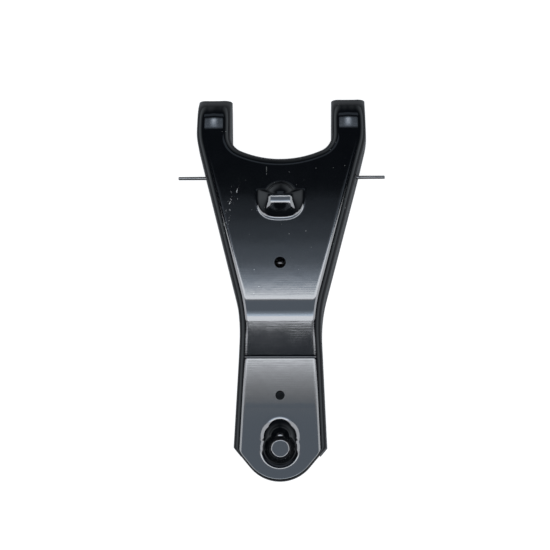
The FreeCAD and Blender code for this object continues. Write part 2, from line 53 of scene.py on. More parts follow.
# %% [markdown]
# ## The sizes of the pressing
#
# These are the sizes of the press tools: the thickness of the sheet, the
# radius over which the web turns down, the lean of the flanges that lets the
# pressing out of its die, and the lines of the outline seen from above and
# from the side.  The origin is the centre of the pivot ball, Y runs along the
# fork to its arms and Z points out of the web.
#
# Such a part could be a box whose faces are pushed about and bevelled, or a
# thin sheet with a Solidify modifier.  Here both faces are worked out from the
# lines of the tools, because the thickness, the rolls and the lean then come
# out true everywhere, as they do in the press.

# %% Sizes
SHEET = 3.2
BEND = 4.2
DRAFT = math.radians(2.0)
WEB_TOP, TONGUE_TOP = 4.6, -2.9
FLANGE_EDGE = -14.4
PLAN_LEVEL = 6.6
CREASE, SLOPE_REACH = -72.3, 30.0
NOSE_REACH, NOSE_RADIUS, NOSE_ANGLE = 127.28, 17.0, math.radians(50.0)
ARM_REACH, RUN_OUT = 49.6, 61.6
PAD_ROOT, PAD_CREST = 33.0, 43.0
WALL_X = 23.6
OUTER_SIDE = [(21.333, -139.3), (17.5, -54.1), (39.05, 30.0), (38.002, RUN_OUT)]
OUTER_ROUNDING = [70.0, 30.0]
SLOT_SIDE = [(-WALL_X, 25.309), (0.0, 15.291), (WALL_X, 25.309), (WALL_X, RUN_OUT)]
SLOT_ROUNDING = [45.26, 8.5]
SIDE_LINE = [(-92.3, -10.18), (-51.694, WEB_TOP), (PAD_ROOT, WEB_TOP), (PAD_CREST, 5.3),
             (RUN_OUT, -15.358)]
SIDE_ROUNDING = [30.0, 20.0, 10.0]
TAPER_LINE = [(-160.0, FLANGE_EDGE), (12.0, FLANGE_EDGE), (RUN_OUT, -3.847)]
TAPER_ROUNDING = [30.0]
LINE_SPACING = 0.05
print("a sheet of", SHEET, "mm, pressed", NOSE_REACH + ARM_REACH, "mm long")


# %% A line of straight runs and tangent arcs
def rounded_path(corners, radii, spacing=LINE_SPACING):
    """Points along a bent line, and its normals on the left of the way.

    Between corners the line is straight.  At a corner where it turns by an
    angle a, an arc of radius r touches both runs at r * tan(a / 2) from the
    corner.  The normal is the direction of travel turned a quarter left.
    """
    corners = np.asarray(corners, float)
    way = np.diff(corners, axis=0)
    way /= np.linalg.norm(way, axis=1)[:, None]
    left = np.column_stack([-way[:, 1], way[:, 0]])
    points, normals = [], []
    start = corners[0]
    for i, radius in enumerate(radii):
        cross = way[i, 0] * way[i + 1, 1] - way[i, 1] * way[i + 1, 0]
        turn = math.atan2(cross, way[i] @ way[i + 1])
        first = corners[i + 1] - way[i] * abs(radius * math.tan(turn / 2))
        count = max(2, int(np.linalg.norm(first - start) / spacing))
        share = np.linspace(0, 1, count)[:, None]
        points.append(start + (first - start) * share)
        normals.append(np.repeat(left[i:i + 1], count, axis=0))
        side = math.copysign(radius, turn)
        centre = first + side * left[i]
        angles = np.linspace(0, turn, max(3, int(abs(turn) * radius / spacing)))[1:-1]
        cos, sin = np.cos(angles)[:, None], np.sin(angles)[:, None]
        swung = left[i] * cos + np.array([-left[i, 1], left[i, 0]]) * sin
        points.append(centre - side * swung)
        normals.append(swung)
        start = centre - side * left[i + 1]
    share = np.linspace(0, 1, max(2, int(np.linalg.norm(corners[-1] - start) / spacing)))[:, None]
    points.append(start + (corners[-1] - start) * share)
    normals.append(np.repeat(left[-1:], len(share), axis=0))
    return np.concatenate(points), np.concatenate(normals)


outer_line, outer_left = rounded_path(OUTER_SIDE, OUTER_ROUNDING)
outer_out = -outer_left
slot_line, slot_out = rounded_path(SLOT_SIDE, SLOT_ROUNDING)
web_line, web_up = rounded_path(SIDE_LINE, SIDE_ROUNDING)
taper_line, _ = rounded_path(TAPER_LINE, TAPER_ROUNDING)
print("outline sampled at", len(outer_line), "and", len(slot_line), "points")

# %% [markdown]
# ## The height of the web
#
# The web is a long soft bend: flat between the arms and the step, down a
# 20 degree slope, and flat again along the tongue.  The foot of the slope is
# struck sharp and leaves a hairline groove.
#
# The forms on it could be cut and added with Boolean modifiers.  Instead each
# one is a height over the plan, and two of them are joined by taking the
# higher or the lower one with a small blend, just as steel cannot follow a
# sharp tool edge exactly.  The grid of the sheet then stays whole.

# %% Joining two heights
def higher(a, b, blend):
    """The larger of two heights; within the blend a parabola joins them."""
    share = np.clip(0.5 + 0.5 * (a - b) / blend, 0, 1)
    return b + (a - b) * share + blend * share * (1 - share)


def lower(a, b, blend):
    """The smaller of two heights, joined in the same way."""
    return -higher(-a, -b, blend)


print("two level heights meet at", float(higher(0.0, 0.0, 1.0)), "of the blend above them")

# %% The side line and its groove
GROOVE_DEPTH, GROOVE_REACH = 0.12, 0.35


def line_height(y, inset):
    """Height of the web's side line, moved down square to itself by the inset.

    The sloping web and the tongue are two sheets of which the higher one is
    the part, so their meeting at the crease stays sharp.  The groove there is
    a bell curve: its depth times e to the minus square of distance over reach.
    """
    moved = web_line - web_up * inset
    bent = np.interp(y, moved[:, 0], moved[:, 1])
    struck = GROOVE_DEPTH * np.exp(-((y - CREASE) / GROOVE_REACH) ** 2)
    return np.where(y < CREASE + SLOPE_REACH, np.maximum(bent, TONGUE_TOP - inset) - struck, bent)


print("web between", float(line_height(0.0, 0.0)), "and", float(line_height(-NOSE_REACH, 0.0)), "mm")

# %% [markdown]
# ### The dome over the ball
#
# The web is drawn up over the head of the ball stud and carries two wings and
# a ramp that stiffen it.  It could be a sphere joined to a wedge.  As a height
# it is the higher of a ball's cap and a ramp whose flanks rise evenly from its
# foot to its crest, which is how the punch is ground.

# %% The dome
BALL = 5.5
WING_FOOT = (10.6, 3.6, 10.4, 2.4)
WING_CREST = (5.0, 0.6, 1.5, 2.1)
WING_HEIGHT, WING_DEEPEST = 3.85, -3
ROOT_BLEND, RIDGE_BLEND = 0.5, 0.2
CAP_SINK = 0.1
NO_CAP = -20.0


def arc_bow(x, half_width, ends, middle):
    """How far back a shallow arc lies at x: the root of radius squared less x squared."""
    sag = middle - ends
    radius = (half_width ** 2 + sag ** 2) / (2 * sag)
    return middle - radius + np.sqrt(np.maximum(radius ** 2 - x ** 2, 0))


def dome_height(x, y, inset):
    """A ball cap with wings, whose flanks rise evenly from their foot to their crest.

    A flank's share is the way gone from the foot over the way to the crest,
    and the smallest share counts.  The foot is round: the powers of x and y
    over its half widths add up to one.  The cap is the root of the radius
    squared less x squared and y squared.
    """
    foot_half, foot_front, foot_back, fullness = WING_FOOT
    crest_half, crest_front, crest_ends, crest_back = WING_CREST
    front = (foot_front - y) / (foot_front - crest_front)
    round_foot = ((np.abs(x) / foot_half) ** fullness
                  + np.maximum(-y / foot_back, 0) ** fullness) ** (1 / fullness)
    sides = (1 - round_foot) * foot_half / (foot_half - crest_half)
    back = (foot_back + y) / (foot_back - arc_bow(x, crest_half, crest_ends, crest_back))
    rise = lower(lower(front, sides, RIDGE_BLEND), back, RIDGE_BLEND)
    level = lower(rise, np.ones_like(rise), RIDGE_BLEND)
    wings = WEB_TOP - inset + WING_HEIGHT * np.clip(level, WING_DEEPEST, 1)
    radius = BALL + SHEET - inset
    cap = np.sqrt(np.maximum(radius ** 2 - x ** 2 - y ** 2, 0.0)) - CAP_SINK
    cap = np.where(x ** 2 + y ** 2 < radius ** 2, cap, NO_CAP)
    return higher(wings, cap, ROOT_BLEND)


print("top of the ball's cap", float(dome_height(0.0, 0.0, 0.0)), "mm")

# %% [markdown]
# ### The cup for the pushrod
#
# A round punch draws the cup down into the tongue, and a second, shallower
# one beside it makes room for the rod when the fork swings.  Both pull the
# sheet around their mouth down a little.  The cup could be lathed and joined
# on.  As a height that depends on the distance from its axis, it keeps the
# sheet's thickness without any joint.

# %% The cup and its relief
SEAT = (-112.6, 6.5, 4.9, 7.1, 2.0)
RELIEF = (-107.6, 5.2, 1.6, 6.1, 2.6)
SEAT_DISH, RELIEF_DISH, DISH_RADIUS = (9.8, 3.4), (9.7, 5.0), 6.5
CUP_ROUNDING, UNDER_ROLL = 2.2, 0.6
CUP_SPACING, FLAT_RUN = 0.04, 4


def cup_height(r, form, inset):
    """A punched cup: flat floor, rounded corner, sloping wall, rolled edge.

    The profile is a bent line over the distance r from the axis.  The lower
    face's wall lies one inset further out, square to the slope.
    """
    _, depth, floor, mouth, roll = form
    wall = (mouth - floor) / depth
    secant = math.hypot(1, wall)
    if inset:
        floor += inset * (secant - wall)
        mouth = floor + wall * depth
        roll = UNDER_ROLL
    profile = [(-1.0, -depth), (floor, -depth), (mouth, 0.0), (mouth + FLAT_RUN * roll, 0.0)]
    line, _ = rounded_path(profile, [CUP_ROUNDING + inset, roll], CUP_SPACING)
    return TONGUE_TOP - inset + np.interp(r, line[:, 0], line[:, 1])


def dish_height(r, form, inset):
    """The hollow round a cup's mouth: a parabola of the way in from its rim."""
    reach, depth_ends = form
    inside = np.clip(reach - r, 0, depth_ends)
    return TONGUE_TOP - inset - inside ** 2 / (2 * DISH_RADIUS)


print("cup's floor", float(cup_height(0.0, SEAT, 0.0)), "relief's", float(cup_height(0.0, RELIEF, 0.0)))

# %% The cup drawn into the tongue
CUP_MIDDLE, CUP_ACROSS, CUP_ALONG = -110, 15.5, 16
LEAST_BLEND, PAIR_BLEND, DISH_BLEND, WALL_BLEND = 0.02, 0.5, 0.4, 0.6


def sunk_height(x, y, base, inset):
    """The base with the cup, its relief and their dishes drawn down into it.

    The blend between them grows with the depth, up to where it is full.
    """
    to_seat, to_relief = np.hypot(x, y - SEAT[0]), np.hypot(x, y - RELIEF[0])
    seat, relief = cup_height(to_seat, SEAT, inset), cup_height(to_relief, RELIEF, inset)
    sunk = np.clip(TONGUE_TOP - inset - np.maximum(seat, relief), 0, 1)
    pair = lower(seat, relief, LEAST_BLEND + PAIR_BLEND * sunk)
    dish = lower(dish_height(to_seat, SEAT_DISH, inset), dish_height(to_relief, RELIEF_DISH, inset),
                 LEAST_BLEND + np.minimum(sunk, DISH_BLEND))
    near = (np.abs(y - CUP_MIDDLE) < CUP_ALONG) & (np.abs(x) < CUP_ACROSS)
    drawn = np.minimum(base, lower(pair, dish, LEAST_BLEND + WALL_BLEND * sunk))
    return np.where(near, drawn, base)


print("tongue beside the cup", float(sunk_height(CUP_ACROSS, SEAT[0], TONGUE_TOP, 0.0)))

# %% [markdown]
# ### The whole web
#
# The arms rise to pads that push the bearing, and a pad is slightly crowned
# across so that it touches in its middle.  With the crown, the web is the
# side line, raised by the dome and sunk by the cup.

# %% The web
PAD_MIDDLE, PAD_HALF, PAD_CROWN = 31.0, 2.9, 0.145
DOME_REACH = 14


def pad_crown(x, y):
    """A slight crown along each arm: a hump across, times a smooth rise to the pad."""
    across = np.clip((np.abs(x) - PAD_MIDDLE) / PAD_HALF, -1, 1)
    along = np.clip((y - PAD_ROOT) / (PAD_CREST - PAD_ROOT), 0, 1)
    return PAD_CROWN * (1 - across ** 2) ** 2 * along ** 2 * (3 - 2 * along)


def web_height(x, y, inset=0.0):
    """Height of the sheet's upper face, or with an inset of its lower face."""
    base = line_height(y, inset) + pad_crown(x, y)
    near_dome = (np.abs(y) < DOME_REACH) & (np.abs(x) < DOME_REACH)
    base = np.where(near_dome, higher(base, dome_height(x, y, inset), ROOT_BLEND), base)
    return sunk_height(x, y, base, inset)


print("web at the pivot", float(web_height(0.0, 0.0)), "cup floor", float(web_height(0.0, SEAT[0])))

# %% [markdown]
# ## The flanges
#
# All along the outside, and round the gap for the bearing's sleeve, the web
# rolls over a radius of 4.2 mm into a flange that leans out by two degrees.
# The inner face of the sheet follows one thickness further in with a radius
# of 1 mm, so both arcs share one centre.
#
# A bevel along a folded edge would give nearly this.  Here the columns of the
# surface are lines along the fork, some on the web, some on the roll and some
# on the flange, so that the roll keeps its radius where the fork narrows.

# %% Places on the roll and the flange
SIDE_ROUNDS = 4


def roll_centre(web, inset, radius):
    """Sideways place and height of the roll's centre, from the outline.

    The circle touches the level web above it and the leaning flange beside it.
    """
    level = web - radius
    across = -inset + ((PLAN_LEVEL - level) * math.sin(DRAFT) - radius) / math.cos(DRAFT)
    return across, level


def side_x(y, offset):
    """Half width of the outer side at y, moved outwards by the offset.

    The point of the line that ends up at y is found by putting it back in.
    """
    at = y
    for _ in range(SIDE_ROUNDS):
        at = y - offset * np.interp(at, outer_line[:, 1], outer_out[:, 1])
    return (np.interp(at, outer_line[:, 1], outer_line[:, 0])
            + offset * np.interp(at, outer_line[:, 1], outer_out[:, 0]))


def edge_height(y):
    """Free edge of the flanges: level, then rising along the arms."""
    return np.interp(y, taper_line[:, 0], taper_line[:, 1])

print("flange's foot", float(edge_height(0.0)), "mm, half width at the pivot", float(side_x(0.0, 0.0)))

# %% The sheared ends
ARM_MIDDLE, ARM_HALF, ARM_DIP = 31.0, 7.4, 0.7
NOSE_CENTRE = -NOSE_REACH + NOSE_RADIUS
NOSE_APEX = NOSE_REACH + NOSE_RADIUS * (1 / math.cos(NOSE_ANGLE) - 1)
NOSE_ROLL = 1.2


def nose_y(x):
    """The sheared end of the tongue: an arc between two straight diagonals."""
    x = np.abs(x)
    arc = NOSE_CENTRE - np.sqrt(np.maximum(NOSE_RADIUS ** 2 - x ** 2, 0))
    return np.where(x < NOSE_RADIUS * math.sin(NOSE_ANGLE), arc, x * math.tan(NOSE_ANGLE) - NOSE_APEX)


def nose_drop(x, y):
    """How far the upper edge of the nose is rolled down: a quarter circle from the edge in."""
    to_arc = NOSE_RADIUS - np.hypot(x, y - NOSE_CENTRE)
    to_side = (y + NOSE_APEX) * math.cos(NOSE_ANGLE) - x * math.sin(NOSE_ANGLE)
    on_arc = np.arctan2(x, NOSE_CENTRE - y) < NOSE_ANGLE
    away = np.clip(np.where(on_arc & (y < NOSE_CENTRE), to_arc, to_side), 0, NOSE_ROLL)
    return NOSE_ROLL - np.sqrt(NOSE_ROLL ** 2 - (NOSE_ROLL - away) ** 2)


def arm_end_y(x):
    """The sheared end of an arm: a circle's arc that dips in the arm's middle."""
    radius = (ARM_HALF ** 2 + ARM_DIP ** 2) / (2 * ARM_DIP)
    away = np.minimum(np.abs(np.abs(x) - ARM_MIDDLE), ARM_HALF)
    return ARM_REACH - ARM_DIP + radius - np.sqrt(radius ** 2 - away ** 2)


print("nose at", float(nose_y(0.0)), "mm, an arm's middle at", float(arm_end_y(ARM_MIDDLE)), "mm")

# %% [markdown]
# ## Laying the surface out
#
# One half of the sheet is laid out as a few grids that meet along whole
# rows.  Over most of the length a row is a straight section across the fork.
# Round the gap the rows fan out from the gap's wall to the outer side.  The
# first and last rows follow the sheared ends.
#
# One could also cut the outline out of a plane and fold it.  The same layout
# at no inset gives the outer face and at one thickness the inner face, so the
# two close into a solid sheet with plain strips along every sheared edge, and
# that is why it was chosen.

# %% Where rows and columns lie
WEB_COLUMNS, ROLL_COLUMNS, FLANGE_COLUMNS = 44, 10, 10
WEB_SPREAD = 1.15
NOSE_END, FAN_START, GAP_ROW, ARM_START = -95.0, 9.5, 13.0, 33.0
STRETCHES = [(NOSE_END, 20), (-74.5, 10), (CREASE, 10), (-70.0, 46), (-38.0, 28), (-11.5, 64)]
NOSE_STEPS, FAN_STEPS, GAP_STEPS, ARM_STEPS = 92, 13, 36, 34
web_share = np.linspace(0, 1, WEB_COLUMNS + 1) ** WEB_SPREAD
turn = np.concatenate([np.linspace(math.pi / 2, DRAFT, ROLL_COLUMNS + 1),
                       np.full(FLANGE_COLUMNS, DRAFT)])
down = np.concatenate([np.zeros(ROLL_COLUMNS + 1), np.linspace(0, 1, FLANGE_COLUMNS + 1)[1:]])
nose_rows = np.linspace(0, 1, NOSE_STEPS)[:-1, None]
stretch_ends = [start for start, _ in STRETCHES[1:]] + [FAN_START]
middle_rows = np.concatenate([np.linspace(start, end, count)[:-1] for (start, count), end
                              in zip(STRETCHES, stretch_ends)] + [[FAN_START]])[:, None]
before_gap, round_gap, arm_rows = (np.linspace(0, 1, count)[1:, None]
                                   for count in (FAN_STEPS, GAP_STEPS, ARM_STEPS))
print("columns", len(web_share) + len(turn), "rows", len(nose_rows) + len(middle_rows)
      + len(before_gap) + len(round_gap) + len(arm_rows))

# %% Columns of the outer side and of the gap's wall
GAP_ROUNDS = 3


def side_columns(y, inset):
    """Half width and height of the roll's and flange's columns at the given y.

    On the roll they lie at the radius times the cosine and sine of the turn.
    On the flange they lean out by the tangent of the draft times the depth.
    """
    radius = BEND - inset
    across, level = roll_centre(line_height(y, inset), inset, radius)
    top = level + radius * np.sin(turn)
    z = top + (edge_height(y) - top) * down
    out = np.where(down > 0, (PLAN_LEVEL - z) * math.tan(DRAFT) - inset,
                   across + radius * np.cos(turn))
    return side_x(y, out), z


def gap_columns(px, py, mx, my, inset):
    """The same for the gap's wall, from its line in plan and that line's normal."""
    radius = BEND - inset
    across, level = roll_centre(line_height(py, inset), inset, radius)
    top = level + radius * np.sin(turn)
    out = across + radius * np.cos(turn)
    z = top + 0 * py
    for _ in range(GAP_ROUNDS):
        z = np.where(down > 0, top + (edge_height(py + out * my) - top) * down, z)
        out = np.where(down > 0, (PLAN_LEVEL - z) * math.tan(DRAFT) - inset, out)
    return px + out * mx, py + out * my, z


def web_end_x(y, inset):
    """Where the web meets the outer roll: above the centre of the roll."""
    return side_x(y, roll_centre(line_height(y, inset), inset, BEND - inset)[0])


def wall_end_x(y, inset):
    """Where the web meets the roll of the gap's straight wall."""
    return WALL_X - roll_centre(line_height(y, inset), inset, BEND - inset)[0]


print("web's half width at the pivot", float(web_end_x(0.0, 0.0)), "on the arms from",
      float(wall_end_x(ARM_START, 0.0)), "to", float(web_end_x(ARM_START, 0.0)))

# %% The grid of the outer side
END_ROUNDS = 9
NOSE_WEB_START, NOSE_SIDE_START = -120.0, -112.0


def settle(end, place, start, count):
    """Where each column meets a sheared end: its place is put back in a few times."""
    y = np.full((1, count), start)
    for _ in range(END_ROUNDS):
        y = end(place(y))
    return y


def side_grid(inset):
    """Roll and flange of the outer side, in rows from the nose to the arm's end."""
    def side(y):
        """Where the outer side is at y."""
        return side_columns(y, inset)[0]

    first = settle(nose_y, side, NOSE_SIDE_START, len(turn))
    last = settle(arm_end_y, side, ARM_REACH, len(turn))
    y = np.concatenate([
        first + (NOSE_END - first) * nose_rows,
        middle_rows + 0 * first,
        FAN_START + (GAP_ROW - FAN_START) * before_gap + 0 * first,
        GAP_ROW + (ARM_START - GAP_ROW) * round_gap + 0 * first,
        ARM_START + (last - ARM_START) * arm_rows])
    x, z = side_columns(y, inset)
    if not inset:
        over = np.where(down > 0, 0, np.sin(turn))
        z = z - np.where(y < NOSE_END, nose_drop(x, y) * over, 0)
    return np.stack([x, y, z], -1)


print("outer side", side_grid(0.0).shape)

# %% The grid of the gap's wall
NEARLY = 1e-6


def gap_grid(inset):
    """Roll and flange round the gap, from its middle to the arm's end.

    Stations lie at even runs along the gap's line in plan, and each column
    is offset from them along the line's normal.
    """
    def wall(y):
        """Where the gap's straight wall is at y."""
        return gap_columns(WALL_X, y, -1.0, 0.0, inset)[0]

    end = settle(arm_end_y, wall, ARM_REACH, len(turn))
    run = np.concatenate([[0], np.cumsum(np.linalg.norm(np.diff(slot_line, axis=0), axis=1))])
    middle = np.interp(0.0, slot_line[:, 0], run)
    straight = slot_line[:, 0] > WALL_X - NEARLY
    last = np.interp(ARM_START, slot_line[straight, 1], run[straight])
    stations = middle + (last - middle) * np.concatenate([[[0.0]], round_gap])
    px, py = (np.interp(stations, run, slot_line[:, i]) for i in (0, 1))
    mx, my = (np.interp(stations, run, slot_out[:, i]) for i in (0, 1))
    gap = gap_columns(px, py, mx, my, inset)
    arm_y = ARM_START + (end - ARM_START) * arm_rows
    arm = gap_columns(WALL_X, arm_y, -1.0, 0.0, inset)
    gap = np.concatenate([np.stack(gap, -1), np.stack(arm, -1)])
    gap[0, :, 0] = 0.0
    return gap


print("gap's wall", gap_grid(0.0).shape)

# %% The grid of the web
def web_grid(inset, side, gap):
    """The web between the other two: across each row, shares of the way between their edges."""
    def web_end(y):
        """The web's columns at y, from the middle to its edge."""
        return web_share * web_end_x(y, inset)

    def arm_web(y):
        """The web's columns on an arm, from the gap to its edge."""
        return wall_end_x(y, inset) * (1 - web_share) + web_end_x(y, inset) * web_share

    nose = settle(nose_y, web_end, NOSE_WEB_START, WEB_COLUMNS + 1)
    end = settle(arm_end_y, arm_web, ARM_REACH, WEB_COLUMNS + 1)
    first_y = np.concatenate([nose + (NOSE_END - nose) * nose_rows, middle_rows + 0 * nose])
    centre_y = FAN_START + (gap[0, 0, 1] - FAN_START) * before_gap
    left_x = np.concatenate([0 * centre_y, gap[1:len(round_gap) + 1, :1, 0]])
    left_y = np.concatenate([centre_y, gap[1:len(round_gap) + 1, :1, 1]])
    right_y = side[len(first_y):len(first_y) + len(left_y), :1, 1]
    right_x = web_end_x(right_y, inset)
    last_y = ARM_START + (end - ARM_START) * arm_rows
    y = np.concatenate([first_y, left_y + (right_y - left_y) * web_share, last_y])
    x = np.concatenate([web_end(first_y), left_x + (right_x - left_x) * web_share, arm_web(last_y)])
    z = web_height(x, y, inset)
    if not inset:
        z = z - np.where(y < NOSE_END, nose_drop(x, y), 0)
    return np.stack([x, y, z], -1)


def half_sheet(inset):
    """All three grids of one half, none lower than the flange's edge."""
    side, gap = side_grid(inset), gap_grid(inset)
    grids = {"web": web_grid(inset, side, gap), "side": side, "gap": gap}
    for grid in grids.values():
        grid[..., 2] = np.maximum(grid[..., 2], edge_height(grid[..., 1]))
    return grids


outer, inner = half_sheet(0.0), half_sheet(SHEET)
print("web grid", outer["web"].shape, "side grid", outer["side"].shape)

# %% [markdown]
# ## Holes
#
# The web has a locating hole and the hole that the spring hooks into, and
# each flange is drilled for the spring's wire.  A Boolean would leave long
# thin triangles that catch the light.  So a block of a grid's cells is taken
# out and filled again with rings: the outermost ring is the block's own
# border and the innermost is the round edge of the hole.  The hole in the
# flange is drilled straight across, so it is round when seen from the side.

# %% Rings round a hole in the web
HOLES = {"gauge": (-89.5, 2.05, 4.2), "anchor": (-30.6, 2.6, 4.6)}
RINGS, RING_SPREAD = 9, 1.3
RING_SHARES = np.linspace(0, 1, RINGS) ** RING_SPREAD


def web_block(grid, reach, margin):
    """The cells of the web round a hole on the centre line."""
    rows = np.flatnonzero(np.abs(grid[:, 0, 1] - reach) < margin)
    return rows[0], rows[-1], 0, int(np.searchsorted(grid[rows[0], :, 0], margin))


def web_rings(grid, block, inset, reach, radius):
    """Rings from the border of a block to the hole's round edge.

    Along each spoke a ring lies at its share of the way from rim to border.
    """
    low, high, _, right = block
    border = np.concatenate([grid[low, :right + 1], grid[low + 1:high, right],
                             grid[high, right::-1]])[:, :2]
    spoke = border - [0, reach]
    spoke /= np.linalg.norm(spoke, axis=1)[:, None]
    rim = spoke * radius + [0, reach]
    share = RING_SHARES[:, None, None]
    plan = rim + (border - rim) * share
    z = web_height(plan[..., 0], plan[..., 1], inset)
    return np.concatenate([plan, z[..., None]], -1)


blocks = {name: web_block(outer["web"], reach, margin) for name, (reach, _, margin) in HOLES.items()}
print("cells let out of the web", blocks)

# %% Rings round a hole in the flange
WIRE_HOLE = (12.3, -5.3, 1.05)
WIRE_MARGINS = (2.4, 3.4)


def flange_block(grid):
    """The cells of the flange round the wire's hole."""
    y, z, _ = WIRE_HOLE
    rows = np.flatnonzero(np.abs(grid[:, -1, 1] - y) < WIRE_MARGINS[0])
    near = np.flatnonzero(np.abs(grid[rows[0], :, 2] - z) < WIRE_MARGINS[1])
    near = near[near > ROLL_COLUMNS]
    return rows[0], rows[-1], near[0], near[-1]


def flange_rings(grid, block, inset):
    """Rings from a block of the flange to the edge of the wire's hole.

    They are laid out in the side view and put on the leaning flange by its x.
    """
    y, z, radius = WIRE_HOLE
    low, high, left, right = block
    border = np.concatenate([grid[low, left:right], grid[low:high, right],
                             grid[high, right:left:-1], grid[high:low:-1, left]])[:, 1:]
    border = np.concatenate([border, border[:1]])
    spoke = border - [y, z]
    spoke /= np.linalg.norm(spoke, axis=1)[:, None]
    rim = spoke * radius + [y, z]
    place = rim + (border - rim) * RING_SHARES[:, None, None]
    out = (PLAN_LEVEL - place[..., 1]) * math.tan(DRAFT) - inset
    return np.concatenate([side_x(place[..., 0], out)[..., None], place], -1)


side_block = flange_block(outer["side"])
print("cells let out of the flange", side_block)

# %% [markdown]
# ## From grids to one closed piece
#
# The grids of both faces, the rings and the strips along the sheared edges
# are put into one mesh, mirrored, and welded where their points coincide.
# The faces are then turned outwards, since mirroring turns them round.  Blender's
# Mirror modifier would do the same, but the points already meet, so the
# weld alone shows at once whether anything is left open.

# %% The cells of a grid
def cells(rows, columns, first, gone=()):
    """Corner numbers of every cell of a grid, without the blocks that are gone.

    A corner's number is its row times the columns, plus its column.
    """
    row, column = np.meshgrid(np.arange(rows - 1), np.arange(columns - 1), indexing="ij")
    keep = np.ones(row.shape, bool)
    for low, high, left, right in gone:
        keep[low:high, left:right] = False
    corner = first + row[keep] * columns + column[keep]
    return np.stack([corner, corner + 1, corner + columns + 1, corner + columns], -1)


print("a grid of 3 by 3 points has", len(cells(3, 3, 0)), "cells")

# %% Welding
WELD, DEGENERATE = 2e-6, 5e-7
SHARP_ANGLE = math.radians(42)


def closed_mesh(name, grids):
    """One object from many grids and their mirror images, welded where they meet."""
    points, corners, count = [], [], 0
    for grid, gone in grids:
        rows, columns = grid.shape[:2]
        points.append(grid.reshape(-1, 3))
        corners.append(cells(rows, columns, count, gone))
        count += rows * columns
    points = np.concatenate(points)
    corners = np.concatenate(corners)
    corners = np.concatenate([corners, corners[:, ::-1] + count])
    points = np.concatenate([points, points * [-1, 1, 1]])
    mesh = bpy.data.meshes.new(name)
    mesh.from_pydata(points * MM, [], corners.tolist())
    work = bmesh.new()
    work.from_mesh(mesh)
    bmesh.ops.remove_doubles(work, verts=work.verts, dist=WELD)
    bmesh.ops.dissolve_degenerate(work, edges=work.edges, dist=DEGENERATE)
    bmesh.ops.recalc_face_normals(work, faces=work.faces)
    open_edges = sum(1 for edge in work.edges if len(edge.link_faces) != 2)
    work.to_mesh(mesh)
    work.free()
    mesh.polygons.foreach_set("use_smooth", np.ones(len(mesh.polygons), bool))
    mesh.set_sharp_from_angle(angle=SHARP_ANGLE)
    piece = bpy.data.objects.new(name, mesh)
    bpy.context.scene.collection.objects.link(piece)
    print(name, len(mesh.polygons), "faces,", open_edges, "open or shared edges")
    return piece


# %% The pressing
SHEARED = (("web", np.s_[0, :]), ("web", np.s_[-1, :]), ("side", np.s_[0, :]), ("side", np.s_[-1, :]),
           ("side", np.s_[:, -1]), ("gap", np.s_[-1, :]), ("gap", np.s_[:, -1]))
layout, rims = [], []
for face, inset in ((outer, 0.0), (inner, SHEET)):
    rings = [web_rings(face["web"], blocks[name], inset, reach, radius)
             for name, (reach, radius, _) in HOLES.items()]
    rings.append(flange_rings(face["side"], side_block, inset))
    rims.append([ring[0] for ring in rings])
    layout += [(ring, ()) for ring in rings]
    layout += [(face["web"], list(blocks.values())), (face["side"], [side_block]), (face["gap"], ())]
layout += [(np.stack(pair), ()) for pair in zip(*rims)]
layout += [(np.stack([outer[name][line], inner[name][line]]), ()) for name, line in SHEARED]
pressing = closed_mesh("fork_pressing", layout)

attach(pressing, "root")
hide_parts("fork_lever")

# %% [markdown]
# ## The spring
#
# A piece of hard drawn wire is bent like a hairpin.  Its closed end hooks up
# into the hole in the web, its two legs pass the neck of the ball stud on
# both sides, and its ends go out through the flanges.  Pushing the fork onto
# the stud spreads the legs, and they snap back under the ball.
#
# A curve with a round bevel is the usual way to a wire.  A tube of circles
# carried along the line gives the same, and it closes at the cut ends and
# meets its mirror image exactly.

# %% The wire's line
WIRE_RADIUS, WIRE_SIDES = 0.75, 20
WIRE_LEVEL = -5.3
WIRE_END, LEG_BEND, HOOK_BEND = (47.8, 12.3), 3.5, 2.6
LEG_CORNER, HOOK_CORNER, HOOK_RUN = (7.278, 12.3), (1.25, -30.6), 8
HOOK_STRAIGHT_END, HOOK_RADIUS, HOOK_POINTS = 2.0, 1.25, 12
LEVEL_SPACING, BEND_SPACING, SAME_POINT = 0.45, 0.3, 1e-3


def half_wire():
    """Centre line of one half and a direction square to it at each point.

    The first part lies level, the second bends up in the plane of the leg,
    and the third is a quarter of the hook's circle.
    """
    corner = np.array(HOOK_CORNER)
    leg = corner - LEG_CORNER
    leg /= np.linalg.norm(leg)
    along = np.array([leg[0], leg[1], 0.0])
    level, _ = rounded_path([WIRE_END, LEG_CORNER, corner - leg * HOOK_RUN], [LEG_BEND],
                            LEVEL_SPACING)
    level = np.column_stack([level, np.full(len(level), WIRE_LEVEL)])
    bend, square = rounded_path([(-HOOK_RUN, WIRE_LEVEL), (0.0, WIRE_LEVEL), (0.0, HOOK_STRAIGHT_END)],
                                [HOOK_BEND], BEND_SPACING)
    foot = np.array([corner[0], corner[1], 0.0])
    rising = foot + along * bend[:, :1] + np.array([0, 0, 1.0]) * bend[:, 1:]
    rising_square = along * square[:, :1] + np.array([0, 0, 1.0]) * square[:, 1:]
    angle = np.linspace(0, math.pi / 2, HOOK_POINTS)[:, None]
    hook = np.concatenate([HOOK_RADIUS * np.cos(angle), np.full_like(angle, corner[1]),
                           HOOK_STRAIGHT_END + HOOK_RADIUS * np.sin(angle)], -1)
    line = np.concatenate([level, rising, hook])
    square = np.concatenate([np.tile([0, 0, 1.0], (len(level), 1)), rising_square,
                             np.tile(-along, (len(hook), 1))])
    new = np.concatenate([[True], np.linalg.norm(np.diff(line, axis=0), axis=1) > SAME_POINT])
    return line[new], square[new]


